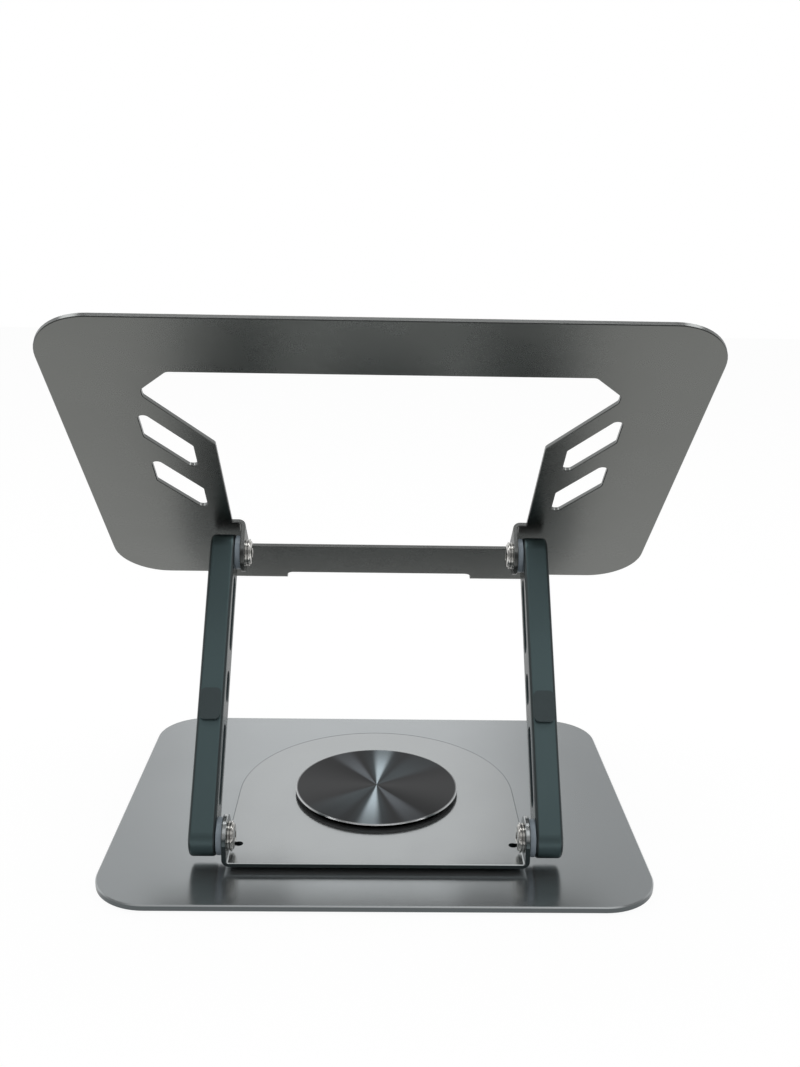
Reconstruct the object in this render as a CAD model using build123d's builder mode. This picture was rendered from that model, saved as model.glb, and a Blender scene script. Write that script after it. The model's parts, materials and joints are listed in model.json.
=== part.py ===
"""Rotating laptop stand: a base plate, a turntable, two folding arms and a tilting tray.

Millimetres, +Z up. The origin is on the desk, under the middle of the base plate.
The user sits at -Y, and the stand is modelled as it stands in use, arms up and tray tilted.
"""

import os
from math import cos, radians, sin, tan

from build123d import *

# General values
overrun = 5.0                  # how far a cut runs past what it cuts
shank_clearance = 0.05         # screw shank in a tapped hole
hinge_clearance = 0.08         # hinge screw in an ear or a washer, on the radius
turning_clearance = 0.06       # turntable boss in the swivel plate, on the radius
sheet_edge_chamfer = 0.3       # broken edges of the swivel plate and the tray

# Base plate and feet
base_width = 234.0
base_depth = 184.0
base_thickness = 2.5
base_corner_radius = 24.0
base_edge_chamfer = 0.5
foot_height = 1.2
foot_length = 34.0
foot_width = 12.0
foot_corner_radius = 4.0
foot_edge_inset = 12.0         # from the plate's edge to the foot's edge, both ways

# Turntable: rings, cap and the screws that hold the cap from below
lower_ring_thickness = 1.9
lower_ring_radius = 46.0
upper_ring_thickness = 1.1
upper_ring_inset = 0.9         # the upper ring stands back from the cap's rim
cap_radius = 38.5
cap_thickness = 1.6
cap_rim_chamfer = 0.45
boss_radius = 20.0
ring_bore_clearance = 0.3
cap_screw_circle_radius = 12.5
cap_screw_radius = 2.0
cap_screw_head_radius = 3.7
cap_screw_head_rim = 0.25      # the straight rim of a countersunk head
cap_screw_cover = 1.3          # metal left over a screw's end, in the cap
cap_screw_tip_gap = 0.4

# Swivel plate
swivel_width = 130.2
swivel_sheet = 2.0
swivel_bend_radius = 1.2
bend_relief = 1.0
relief_hole_radius = 1.9
relief_hole_margin = 0.35      # from the ear's bend to the hole
relief_hole_lead = 6.8         # from the hinge line to the hole's middle

# Hinges: each one is an ear, a slip washer, a screw and its washers
ear_radius = 9.2
slip_washer_thickness = 2.5
slip_washer_radius = 8.0
flat_washer_thickness = 0.7
flat_washer_radius = 6.3
spring_washer_thickness = 0.5
spring_washer_cone = 0.2
spring_washer_radius = 6.1
hinge_screw_radius = 3.0
hinge_screw_grip = 8.5         # how deep a screw goes into its arm
hinge_screw_tip_gap = 0.5
screw_head_radius = 6.4
screw_head_flange = 0.6
screw_head_height = 1.6
screw_dome_share = 0.62        # the dome's flat top against the head's radius
socket_across_corners = 4.6
socket_depth = 1.1
screw_head_gap = 1.2           # from a lower screw's head to the swivel plate
hinge_setback = 57.5           # the lower hinge line, behind the turntable's axis

# Arms
arm_length = 131.0             # from hinge line to hinge line
arm_depth = 16.8
arm_thickness = 11.6
arm_edge_radius = 1.7
arm_angle = 52.0               # degrees above the desk
pocket_width = 7.0
pocket_depth = 8.0
pocket_end_margin = 12.9       # from a hinge line to the nearest pocket
pocket_gap = 10.6
pocket_rim = 0.4
short_pocket_length = 13.7
arm_pad_length = 14.0
arm_pad_width = 9.2
arm_pad_height = 2.2
arm_pad_corner_radius = 2.4
arm_pad_edge_radius = 0.7
arm_pad_place = 55.2           # along the arm, from the lower hinge line
arm_pad_clearance = 0.4        # from the pads to the folded tray

# Tray
tray_width = 260.0
tray_depth = 198.0
tray_sheet = 2.0
tray_corner_radius = 24.0
tray_tilt = 43.5               # degrees, front edge low
tray_hinge_place = 41.5        # from the front edge to the hinge line
tray_bend_radius = 1.5
front_bar = 27.0
rear_bar = 32.0
ear_tab_reach = 4.4            # from the ear's outer face to the cut-out's side
cutout_wing = 24.5             # how much wider the cut-out is at the rear, each side
cutout_wing_end = 4.5
cutout_rear_bevel = 11.5
cutout_corner_radius = 3.0
rib_angle = 53.7               # degrees, of the ribs beside the cut-out
rib_width = 8.6
vent_width = 11.7
vent_span = 19.5
vent_inset = 9.5               # from the cut-out's side to the vents
vent_corner_radius = 2.2
vent_count = 2
lip_inset = 47.0               # from the middle to a lip's inner end
lip_width = 32.0
lip_flat = 4.0                 # from the front edge to the lip's bend
lip_height = 12.0              # above the tray's top face
lip_corner_radius = 4.0
lip_bend_radius = 2.0
lip_root_share = 0.85          # the root's radius against the flat before the bend

# Silicone strips on the tray and on its lips
strip_height = 1.2
strip_width = 14.0
strip_corner_radius = 3.0
side_strip_length = 112.0
rear_strip_length = 120.0
front_strip_length = 78.0
lip_pad_thickness = 1.2
lip_pad_margin = 2.5

# Heights
base_top = foot_height + base_thickness
swivel_bottom = base_top + lower_ring_thickness
swivel_top = swivel_bottom + swivel_sheet
cap_bottom = swivel_top + upper_ring_thickness
lower_hinge_z = swivel_top + screw_head_radius + screw_head_gap

# Places across the stand, from the middle outwards
ear_outer_x = swivel_width / 2
swivel_ear_inner_x = ear_outer_x - swivel_sheet
tray_ear_inner_x = ear_outer_x - tray_sheet
arm_inner_x = ear_outer_x + slip_washer_thickness
arm_middle_x = arm_inner_x + arm_thickness / 2
cutout_side = ear_outer_x + ear_tab_reach

# Directions along the arms and on the tray
arm_along = (0, -cos(radians(arm_angle)), sin(radians(arm_angle)))
arm_rear = (0, sin(radians(arm_angle)), cos(radians(arm_angle)))
tray_along = (0, cos(radians(tray_tilt)), sin(radians(tray_tilt)))
tray_up = (0, -sin(radians(tray_tilt)), cos(radians(tray_tilt)))

# The two hinge lines, and the front edge of the tray's underside
lower_hinge = Vector(0, hinge_setback, lower_hinge_z)
upper_hinge = lower_hinge + Vector(*arm_along) * arm_length
tray_hinge_drop = arm_depth / 2 + arm_pad_height + arm_pad_clearance
tray_front = upper_hinge + Vector(*tray_up) * tray_hinge_drop - Vector(*tray_along) * tray_hinge_place
tray_plane = Plane(origin=tray_front, x_dir=(1, 0, 0), z_dir=tray_up)
tray_top_plane = tray_plane.offset(tray_sheet)


def finish(piece, name):
    """Label a finished piece and write its file."""
    piece.part.label = name
    export_step(piece.part, f"parts/{name}.step")


def bent_strip(corner, half_width, rise, sheet, bend, reach):
    """A sheet strip with one square bend; corner is the inside of the bend, its X along the flat leg."""
    with BuildPart() as strip:
        with BuildSketch(corner):
            with BuildLine():
                Line((bend, 0), (reach, 0))
                Line((reach, 0), (reach, -sheet))
                Line((reach, -sheet), (bend, -sheet))
                CenterArc((bend, bend), bend + sheet, 180, 90)
                Line((-sheet, bend), (-sheet, rise))
                Line((-sheet, rise), (0, rise))
                Line((0, rise), (0, bend))
                CenterArc((bend, bend), bend, 180, 90)
            make_face()
        extrude(amount=half_width, both=True)
    return strip.part


def hinge_ear(corner, drop, sheet, bend, reach):
    """A bent ear with a round end and a hinge hole, drop away from the sheet's face."""
    blank = bent_strip(corner, ear_radius, drop + ear_radius, sheet, bend, reach)
    face = Plane(origin=corner.origin, x_dir=corner.z_dir, z_dir=corner.z_dir.cross(corner.y_dir))
    with BuildPart() as ear:
        add(blank)
        with BuildSketch(face):
            with Locations((0, (drop - sheet) / 2)):
                Rectangle(2 * ear_radius, drop + sheet)
            with Locations((0, drop)):
                Circle(ear_radius)
        extrude(amount=reach + overrun, both=True, mode=Mode.INTERSECT)
        with BuildSketch(face):
            with Locations((0, drop)):
                Circle(hinge_screw_radius + hinge_clearance)
        extrude(amount=sheet + overrun, both=True, mode=Mode.SUBTRACT)
        rounds = ear.edges().filter_by(GeomType.CIRCLE).sort_by(SortBy.RADIUS)[-2:]
        chamfer(rounds, sheet_edge_chamfer)
    return ear.part


def across(hinge, x):
    """A plane square to a hinge line, x out from the middle."""
    return Plane(origin=hinge + Vector(x, 0, 0), x_dir=(0, 1, 0), z_dir=(1, 0, 0))


def washer(hinge, x, thickness, radius):
    """A flat washer on the right-hand end of a hinge line."""
    with BuildPart() as ring:
        with BuildSketch(across(hinge, x)):
            Circle(radius)
            Circle(hinge_screw_radius + hinge_clearance, mode=Mode.SUBTRACT)
        extrude(amount=thickness)
    return ring.part


def spring_washer(hinge, x):
    """A disc spring, its inner rim on the screw head at x and its outer rim on the flat washer."""
    inner = hinge_screw_radius + hinge_clearance
    with BuildPart() as spring:
        with BuildSketch(Plane(origin=hinge, x_dir=(1, 0, 0), z_dir=(0, -1, 0))):
            with BuildLine():
                Polyline(
                    (x, inner),
                    (x + spring_washer_thickness, inner),
                    (x + spring_washer_thickness + spring_washer_cone, spring_washer_radius),
                    (x + spring_washer_cone, spring_washer_radius),
                    close=True,
                )
            make_face()
        revolve(axis=Axis(hinge, (1, 0, 0)))
    return spring.part


def hinge_screw(hinge, head_x):
    """A low flanged screw with a hex socket; its head's underside is at head_x."""
    flange_x = head_x - screw_head_flange
    top_x = head_x - screw_head_height
    tip_x = arm_inner_x + hinge_screw_grip
    dome_radius = screw_head_radius * screw_dome_share
    with BuildPart() as screw:
        with BuildSketch(Plane(origin=hinge, x_dir=(1, 0, 0), z_dir=(0, -1, 0))):
            with BuildLine():
                Line((tip_x, 0), (tip_x, hinge_screw_radius))
                Line((tip_x, hinge_screw_radius), (head_x, hinge_screw_radius))
                Line((head_x, hinge_screw_radius), (head_x, screw_head_radius))
                Line((head_x, screw_head_radius), (flange_x, screw_head_radius))
                Spline(
                    (flange_x, screw_head_radius),
                    (top_x, dome_radius),
                    tangents=((-1, -tan(radians(15))), (-tan(radians(15)), -1)),
                )
                Line((top_x, dome_radius), (top_x, 0))
                Line((top_x, 0), (tip_x, 0))
            make_face()
        revolve(axis=Axis(hinge, (1, 0, 0)))
        with BuildSketch(across(hinge, top_x)):
            RegularPolygon(socket_across_corners / 2, 6)
        extrude(amount=socket_depth, mode=Mode.SUBTRACT)
    return screw.part


def both_sides(solid):
    """A right-hand piece and its mirror image, in one part."""
    with BuildPart() as pair:
        add(solid)
        mirror(solid, about=Plane.YZ)
    return pair


def one_side(solid, side):
    """A right-hand piece, or its mirror image for the left."""
    with BuildPart() as piece:
        if side == "right":
            add(solid)
        else:
            mirror(solid, about=Plane.YZ)
    return piece


def strip_on_tray(x, along, width, length):
    """A silicone strip on the tray's top face."""
    with BuildPart() as strip:
        with BuildSketch(tray_top_plane):
            with Locations((x, along)):
                RectangleRounded(width, length, strip_corner_radius)
        extrude(amount=strip_height)
        top_edges = strip.faces().sort_by(Axis(tray_front, tray_up))[-1].edges()
        chamfer(top_edges, strip_height / 4)
    return strip.part


os.makedirs("parts", exist_ok=True)

# Base plate, with countersunk holes for the turntable's screws
with BuildPart() as base_plate:
    with BuildSketch(Plane.XY.offset(foot_height)):
        RectangleRounded(base_width, base_depth, base_corner_radius)
    extrude(amount=base_thickness)
    chamfer(base_plate.faces().sort_by(Axis.Z)[-1].edges(), base_edge_chamfer)
    with Locations(Plane(origin=(0, 0, foot_height), z_dir=(0, 0, -1))):
        with PolarLocations(cap_screw_circle_radius, 4, start_angle=45):
            CounterSinkHole(
                cap_screw_radius + shank_clearance,
                cap_screw_head_radius + shank_clearance,
                base_thickness,
                counter_sink_angle=90,
            )
finish(base_plate, "base_plate")

# Silicone feet, one near each corner of the base plate
foot_x = base_width / 2 - foot_edge_inset - foot_length / 2
foot_y = base_depth / 2 - foot_edge_inset - foot_width / 2
for end, y in (("front", -foot_y), ("rear", foot_y)):
    for side, x in (("left", -foot_x), ("right", foot_x)):
        with BuildPart() as foot:
            with BuildSketch():
                with Locations((x, y)):
                    RectangleRounded(foot_length, foot_width, foot_corner_radius)
            extrude(amount=foot_height)
            chamfer(foot.faces().sort_by(Axis.Z)[0].edges(), foot_height / 4)
        finish(foot, f"base_foot_{end}_{side}")

# Glide rings under and over the swivel plate
with BuildPart() as lower_glide_ring:
    with BuildSketch(Plane.XY.offset(base_top)):
        Circle(lower_ring_radius)
        Circle(boss_radius + ring_bore_clearance, mode=Mode.SUBTRACT)
    extrude(amount=lower_ring_thickness)
finish(lower_glide_ring, "lower_glide_ring")

with BuildPart() as upper_glide_ring:
    with BuildSketch(Plane.XY.offset(swivel_top)):
        Circle(cap_radius - upper_ring_inset)
        Circle(boss_radius + ring_bore_clearance, mode=Mode.SUBTRACT)
    extrude(amount=upper_ring_thickness)
finish(upper_glide_ring, "upper_glide_ring")

# Turntable cap: a turned disc whose boss stands on the base plate
tapped_depth = cap_bottom + cap_thickness - cap_screw_cover - base_top
with BuildPart() as turntable_cap:
    with BuildSketch(Plane.XY.offset(base_top)):
        Circle(boss_radius)
    extrude(amount=cap_bottom - base_top)
    with BuildSketch(Plane.XY.offset(cap_bottom)):
        Circle(cap_radius)
    extrude(amount=cap_thickness)
    chamfer(turntable_cap.faces().sort_by(Axis.Z)[-1].edges(), cap_rim_chamfer)
    with BuildSketch(Plane.XY.offset(base_top)):
        with PolarLocations(cap_screw_circle_radius, 4, start_angle=45):
            Circle(cap_screw_radius + shank_clearance)
    extrude(amount=tapped_depth, mode=Mode.SUBTRACT)
finish(turntable_cap, "turntable_cap")

# Countersunk screws, from under the base plate into the cap's boss
cap_screw_length = base_thickness + tapped_depth - cap_screw_tip_gap
cap_screw_cone = cap_screw_head_radius - cap_screw_radius
with BuildPart() as cap_screws:
    with BuildSketch(Plane.XY.offset(foot_height)):
        with PolarLocations(cap_screw_circle_radius, 4, start_angle=45):
            Circle(cap_screw_radius)
    extrude(amount=cap_screw_length)
    with BuildSketch(Plane.XY.offset(foot_height + cap_screw_head_rim)):
        with PolarLocations(cap_screw_circle_radius, 4, start_angle=45):
            Circle(cap_screw_head_radius - cap_screw_head_rim)
    extrude(amount=cap_screw_cone - cap_screw_head_rim, taper=45)
    with BuildSketch(Plane.XY.offset(foot_height)):
        with PolarLocations(cap_screw_circle_radius, 4, start_angle=45):
            Circle(cap_screw_head_radius - cap_screw_head_rim)
    extrude(amount=cap_screw_head_rim)
finish(cap_screws, "cap_screws")

# Swivel plate: straight sides, a round front and an ear at each rear corner
swivel_rear = hinge_setback + ear_radius
ear_front = hinge_setback - ear_radius - bend_relief
notch_inner_x = swivel_ear_inner_x - swivel_bend_radius
relief_hole_x = notch_inner_x - relief_hole_margin - relief_hole_radius
relief_hole_y = hinge_setback - relief_hole_lead
swivel_ear_corner = Plane(
    origin=(swivel_ear_inner_x, hinge_setback, swivel_top), x_dir=(-1, 0, 0), z_dir=(0, 1, 0)
)
swivel_ear = hinge_ear(
    swivel_ear_corner,
    lower_hinge_z - swivel_top,
    swivel_sheet,
    swivel_bend_radius,
    swivel_bend_radius + bend_relief,
)
with BuildPart() as swivel_plate:
    with BuildSketch(Plane.XY.offset(swivel_bottom)):
        with BuildLine():
            Polyline(
                (ear_outer_x, 0),
                (ear_outer_x, ear_front),
                (notch_inner_x, ear_front),
                (notch_inner_x, swivel_rear),
                (-notch_inner_x, swivel_rear),
                (-notch_inner_x, ear_front),
                (-ear_outer_x, ear_front),
                (-ear_outer_x, 0),
            )
            CenterArc((0, 0), ear_outer_x, 180, 180)
        make_face()
        Circle(boss_radius + turning_clearance, mode=Mode.SUBTRACT)
    extrude(amount=swivel_sheet)
    chamfer(swivel_plate.faces().filter_by(Axis.Z).edges(), sheet_edge_chamfer)
    add(swivel_ear)
    mirror(swivel_ear, about=Plane.YZ)
    with BuildSketch(Plane.XY.offset(swivel_top)):
        with Locations((-relief_hole_x, relief_hole_y), (relief_hole_x, relief_hole_y)):
            Circle(relief_hole_radius)
    extrude(amount=swivel_sheet + overrun, both=True, mode=Mode.SUBTRACT)
finish(swivel_plate, "swivel_plate")

# Arms: round-ended bars with three pockets in the inner face
arm_plane = Plane(origin=lower_hinge + Vector(arm_inner_x, 0, 0), x_dir=arm_along, z_dir=(1, 0, 0))
long_pocket_length = (arm_length - short_pocket_length) / 2 - pocket_gap - pocket_end_margin
pocket_spots = (
    (pocket_end_margin + long_pocket_length / 2, long_pocket_length),
    (arm_length / 2, short_pocket_length),
    (arm_length - pocket_end_margin - long_pocket_length / 2, long_pocket_length),
)
with BuildPart() as arm:
    with BuildSketch(arm_plane):
        with Locations((arm_length / 2, 0)):
            SlotCenterToCenter(arm_length, arm_depth)
    extrude(amount=arm_thickness)
    fillet(arm.faces().filter_by(Axis.X).edges(), arm_edge_radius)
    with BuildSketch(arm_plane):
        for spot, length in pocket_spots:
            with Locations((spot, 0)):
                SlotOverall(length, pocket_width)
    extrude(amount=pocket_depth, mode=Mode.SUBTRACT)
    with BuildSketch(arm_plane):
        for spot, length in pocket_spots:
            with Locations((spot, 0)):
                SlotOverall(length + 2 * pocket_rim, pocket_width + 2 * pocket_rim)
    extrude(amount=pocket_rim, taper=45, mode=Mode.SUBTRACT)
    with BuildSketch(arm_plane):
        with Locations((0, 0), (arm_length, 0)):
            Circle(hinge_screw_radius + shank_clearance)
    extrude(amount=hinge_screw_grip + hinge_screw_tip_gap, mode=Mode.SUBTRACT)

# Rubber pads on the arms' rear faces, where the folded tray comes down
pad_middle = lower_hinge + Vector(*arm_along) * arm_pad_place + Vector(*arm_rear) * (arm_depth / 2)
with BuildPart() as arm_pad:
    with BuildSketch(Plane(origin=pad_middle + Vector(arm_middle_x, 0, 0), x_dir=arm_along, z_dir=arm_rear)):
        RectangleRounded(arm_pad_length, arm_pad_width, arm_pad_corner_radius)
    extrude(amount=arm_pad_height)
    fillet(arm_pad.faces().sort_by(Axis(lower_hinge, arm_rear))[-1].edges(), arm_pad_edge_radius)

for side in ("left", "right"):
    finish(one_side(arm.part, side), f"{side}_arm")
    finish(one_side(arm_pad.part, side), f"arm_pad_{side}")

# Hinge hardware, the same at both hinge lines
hinge_lines = (("lower", lower_hinge, swivel_ear_inner_x), ("upper", upper_hinge, tray_ear_inner_x))
for line, hinge, ear_inner_x in hinge_lines:
    flat_x = ear_inner_x - flat_washer_thickness
    head_x = flat_x - spring_washer_thickness - spring_washer_cone
    slip_washer = washer(hinge, ear_outer_x, slip_washer_thickness, slip_washer_radius)
    for side in ("left", "right"):
        finish(one_side(slip_washer, side), f"{line}_slip_washer_{side}")
    flat_washer = washer(hinge, flat_x, flat_washer_thickness, flat_washer_radius)
    finish(both_sides(flat_washer), f"{line}_flat_washers")
    finish(both_sides(spring_washer(hinge, head_x)), f"{line}_spring_washers")
    finish(both_sides(hinge_screw(hinge, head_x)), f"{line}_hinge_screws")

# Tray: one bent sheet with a cut-out, slanted vents, two ears and two lips
rib_slope = tan(radians(rib_angle))
rib_rise = rib_width / cos(radians(rib_angle))
vent_rise = vent_width / cos(radians(rib_angle))
cutout_rear = tray_depth - rear_bar
wing_x = cutout_side + cutout_wing
wing_rear = cutout_rear - cutout_rear_bevel
wing_front = wing_rear - cutout_wing_end
shoulder = wing_front - cutout_wing * rib_slope
vent_inner_x = cutout_side + vent_inset
vent_outer_x = vent_inner_x + vent_span
tray_ear_corner = Plane(
    origin=tray_front + Vector(*tray_along) * tray_hinge_place + Vector(ear_outer_x, 0, 0),
    x_dir=(1, 0, 0),
    z_dir=tray_along,
)
tray_ear = hinge_ear(
    tray_ear_corner, tray_hinge_drop, tray_sheet, tray_bend_radius, ear_tab_reach + bend_relief
)
lip_middle_x = lip_inset + lip_width / 2
lip_inner_v = lip_flat + lip_bend_radius
lip_corner = Plane(
    origin=tray_front
    + Vector(lip_middle_x, 0, 0)
    + Vector(*tray_up) * tray_sheet
    - Vector(*tray_along) * lip_inner_v,
    x_dir=tray_along,
    z_dir=(1, 0, 0),
)
lip_blank = bent_strip(lip_corner, lip_width / 2, lip_height, tray_sheet, lip_bend_radius, lip_inner_v)
with BuildPart() as lip:
    add(lip_blank)
    with BuildSketch(Plane(origin=lip_corner.origin, x_dir=(1, 0, 0), z_dir=-Vector(*tray_along))):
        with Locations((0, -lip_height / 2)):
            RectangleRounded(lip_width, 3 * lip_height, lip_corner_radius)
    extrude(amount=lip_inner_v + overrun, both=True, mode=Mode.INTERSECT)


def is_lip_root(corner):
    """Whether a corner of the tray's outline is where a lip leaves the front edge."""
    from_lip_middle = abs(abs(corner.X) - lip_middle_x)
    return abs(corner.Y) < sheet_edge_chamfer and abs(from_lip_middle - lip_width / 2) < sheet_edge_chamfer


with BuildPart() as tray_plate:
    with BuildSketch(tray_plane) as tray_outline:
        with Locations((0, tray_depth / 2)):
            RectangleRounded(tray_width, tray_depth, tray_corner_radius)
        with Locations((-lip_middle_x, -lip_flat / 2), (lip_middle_x, -lip_flat / 2)):
            Rectangle(lip_width, lip_flat)
        lip_roots = tray_outline.vertices().filter_by(is_lip_root)
        fillet(lip_roots, lip_flat * lip_root_share)
        with BuildSketch(mode=Mode.SUBTRACT) as cutout:
            with BuildLine():
                Polyline(
                    (0, front_bar),
                    (cutout_side, front_bar),
                    (cutout_side, shoulder),
                    (wing_x, wing_front),
                    (wing_x, wing_rear),
                    (wing_x - cutout_rear_bevel, cutout_rear),
                    (0, cutout_rear),
                    close=True,
                )
            make_face()
            mirror(about=Plane.YZ)
            fillet(cutout.vertices(), cutout_corner_radius)
        with BuildSketch(mode=Mode.SUBTRACT) as vents:
            for row in range(vent_count):
                drop = (row + 1) * rib_rise + row * vent_rise
                outer_rear = wing_front + (vent_outer_x - wing_x) * rib_slope - drop
                inner_rear = wing_front + (vent_inner_x - wing_x) * rib_slope - drop
                with BuildLine():
                    Polyline(
                        (vent_inner_x, inner_rear),
                        (vent_outer_x, outer_rear),
                        (vent_outer_x, outer_rear - vent_rise),
                        (vent_inner_x, inner_rear - vent_rise),
                        close=True,
                    )
                make_face()
            mirror(about=Plane.YZ)
            fillet(vents.vertices(), vent_corner_radius)
    extrude(amount=tray_sheet)
    chamfer(tray_plate.faces().filter_by(tray_plane).edges(), sheet_edge_chamfer)
    for side in (-1, 1):
        add(tray_ear if side == 1 else mirror(tray_ear, about=Plane.YZ, mode=Mode.PRIVATE))
        add(lip.part if side == 1 else mirror(lip.part, about=Plane.YZ, mode=Mode.PRIVATE))
finish(tray_plate, "tray_plate")

# Silicone strips that the laptop lies on
side_strip_x = (vent_outer_x + tray_width / 2) / 2
side_strip = strip_on_tray(side_strip_x, tray_depth / 2, strip_width, side_strip_length)
for side in ("left", "right"):
    finish(one_side(side_strip, side), f"tray_strip_{side}")
for end, along, length in (
    ("rear", tray_depth - rear_bar / 2, rear_strip_length),
    ("front", front_bar / 2, front_strip_length),
):
    with BuildPart() as cross_strip:
        add(strip_on_tray(0, along, length, strip_width))
    finish(cross_strip, f"tray_strip_{end}")

# Silicone pads on the lips' inner faces
lip_pad_low = lip_bend_radius
lip_pad_height = lip_height - lip_pad_low - lip_pad_margin
with BuildPart() as lip_pad:
    with BuildSketch(Plane(origin=lip_corner.origin, x_dir=(-1, 0, 0), z_dir=tray_along)):
        with Locations((0, lip_pad_low + lip_pad_height / 2)):
            RectangleRounded(lip_width - 2 * lip_pad_margin, lip_pad_height, lip_pad_margin)
    extrude(amount=lip_pad_thickness)
for side in ("left", "right"):
    finish(one_side(lip_pad.part, side), f"lip_pad_{side}")
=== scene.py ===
"""Looks of a rotating laptop stand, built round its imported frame."""

from __future__ import annotations

import json
import logging
import math
from dataclasses import dataclass, replace
from enum import Enum
from typing import Any, Sequence, Union

import bmesh
import bpy
from bpy.types import Material, Mesh, NodeSocket, NodeTree, Object
from mathutils import Matrix, Vector

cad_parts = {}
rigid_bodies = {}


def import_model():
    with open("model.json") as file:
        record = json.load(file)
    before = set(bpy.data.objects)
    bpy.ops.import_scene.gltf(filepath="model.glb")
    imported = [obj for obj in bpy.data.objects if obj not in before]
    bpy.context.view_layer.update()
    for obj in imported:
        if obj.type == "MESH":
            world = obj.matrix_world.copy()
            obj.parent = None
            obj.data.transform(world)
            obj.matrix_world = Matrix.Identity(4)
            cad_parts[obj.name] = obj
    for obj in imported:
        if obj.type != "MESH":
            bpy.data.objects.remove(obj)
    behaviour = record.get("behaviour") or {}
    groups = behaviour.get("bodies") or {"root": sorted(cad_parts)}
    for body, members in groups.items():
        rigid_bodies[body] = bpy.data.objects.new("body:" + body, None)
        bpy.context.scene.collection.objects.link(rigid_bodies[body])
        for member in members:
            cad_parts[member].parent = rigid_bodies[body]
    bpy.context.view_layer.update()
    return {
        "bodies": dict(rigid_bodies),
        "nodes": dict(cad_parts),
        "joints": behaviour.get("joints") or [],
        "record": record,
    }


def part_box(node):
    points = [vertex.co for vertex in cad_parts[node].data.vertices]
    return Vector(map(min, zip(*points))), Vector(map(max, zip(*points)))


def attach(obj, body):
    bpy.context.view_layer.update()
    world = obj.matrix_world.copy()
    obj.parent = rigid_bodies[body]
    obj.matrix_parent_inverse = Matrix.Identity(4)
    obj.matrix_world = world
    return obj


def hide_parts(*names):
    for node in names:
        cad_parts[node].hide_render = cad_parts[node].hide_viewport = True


LOG = logging.getLogger("laptop_stand")
MM = 0.001
WELD = 1e-6
WHITE = (1.0, 1.0, 1.0, 1.0)
Colour = tuple[float, float, float]
Number = Union[float, "Value"]


class Side(Enum):
    """The user's left or right, as a sign along X."""

    LEFT = -1
    RIGHT = 1

    @property
    def word(self) -> str:
        """The side's name in lower case."""
        return self.name.lower()


class Value:
    """A node's output socket that takes part in Python expressions."""

    def __init__(self, graph: Graph, socket: NodeSocket) -> None:
        """Keep the socket and the graph that it belongs to."""
        self.graph = graph
        self.socket = socket

    def _math(self, operation: str, *terms: Number) -> Value:
        """The result of a new Math node."""
        return self.graph.node("ShaderNodeMath", dict(enumerate(terms)), operation=operation)

    def __add__(self, other: Number) -> Value:
        """Self plus other."""
        return self._math("ADD", self, other)

    def __radd__(self, other: Number) -> Value:
        """Other plus self."""
        return self._math("ADD", other, self)

    def __sub__(self, other: Number) -> Value:
        """Self less other."""
        return self._math("SUBTRACT", self, other)

    def __rsub__(self, other: Number) -> Value:
        """Other less self."""
        return self._math("SUBTRACT", other, self)

    def __mul__(self, other: Number) -> Value:
        """Self times other."""
        return self._math("MULTIPLY", self, other)

    def __rmul__(self, other: Number) -> Value:
        """Other times self."""
        return self._math("MULTIPLY", other, self)

    def __truediv__(self, other: Number) -> Value:
        """Self over other."""
        return self._math("DIVIDE", self, other)

    def __rtruediv__(self, other: Number) -> Value:
        """Other over self."""
        return self._math("DIVIDE", other, self)

    def __abs__(self) -> Value:
        """The size of self."""
        return self._math("ABSOLUTE", self)

    def least(self, other: Number) -> Value:
        """The smaller of self and other."""
        return self._math("MINIMUM", self, other)

    def most(self, other: Number) -> Value:
        """The larger of self and other."""
        return self._math("MAXIMUM", self, other)

    def over(self, other: Number) -> Value:
        """One where self is larger than other, else zero."""
        return self._math("GREATER_THAN", self, other)

    def sine(self) -> Value:
        """The sine of self, in radians."""
        return self._math("SINE", self)

    def cosine(self) -> Value:
        """The cosine of self, in radians."""
        return self._math("COSINE", self)

    def ease(self, start: float, end: float) -> Value:
        """A smooth step from zero at start to one at end.

        Args:
            start: Where the step leaves zero.
            end: Where the step reaches one; it may be below start.

        Returns:
            The step's height.
        """
        if start > end:
            return 1 - self.ease(end, start)
        sockets = {"Value": self, "From Min": start, "From Max": end}
        return self.graph.node("ShaderNodeMapRange", sockets, interpolation_type="SMOOTHSTEP")


@dataclass(frozen=True)
class Fade:
    """A smooth step between two places, as high as its amount."""

    start: float
    end: float
    amount: float = 1.0

    def of(self, value: Value) -> Value:
        """The step's height at a value."""
        return value.ease(self.start, self.end) * self.amount


class Graph:
    """A node tree that Python code adds nodes to."""

    def __init__(self, tree: NodeTree) -> None:
        """Take the tree over and empty it."""
        self.tree = tree
        tree.nodes.clear()

    def node(
        self, kind: str, sockets: dict[str | int, Any] | None = None, output: str | int = 0, **settings: Any
    ) -> Value:
        """Add a node.

        Args:
            kind: The node's type.
            sockets: A value or a link for each input, by name or by number.
            output: The output that is wanted.
            settings: The node's own settings, set before its inputs.

        Returns:
            That output.
        """
        made = self.tree.nodes.new(kind)
        for key, setting in settings.items():
            setattr(made, key, setting)
        for key, value in (sockets or {}).items():
            if isinstance(value, Value):
                self.tree.links.new(value.socket, made.inputs[key])
            else:
                made.inputs[key].default_value = value
        return Value(self, made.outputs[output] if len(made.outputs) else None)

    def vector(self, operation: str, *terms: Any, output: int = 0, **named: Any) -> Value:
        """The result of a new Vector Math node: output 0 is a vector, 1 a number."""
        sockets = {**dict(enumerate(terms)), **named}
        return self.node("ShaderNodeVectorMath", sockets, output, operation=operation)

    def parts(self, vector: Value) -> tuple[Value, Value, Value]:
        """A vector's three numbers."""
        outputs = self.node("ShaderNodeSeparateXYZ", {0: vector}).socket.node.outputs
        return Value(self, outputs[0]), Value(self, outputs[1]), Value(self, outputs[2])


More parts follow.
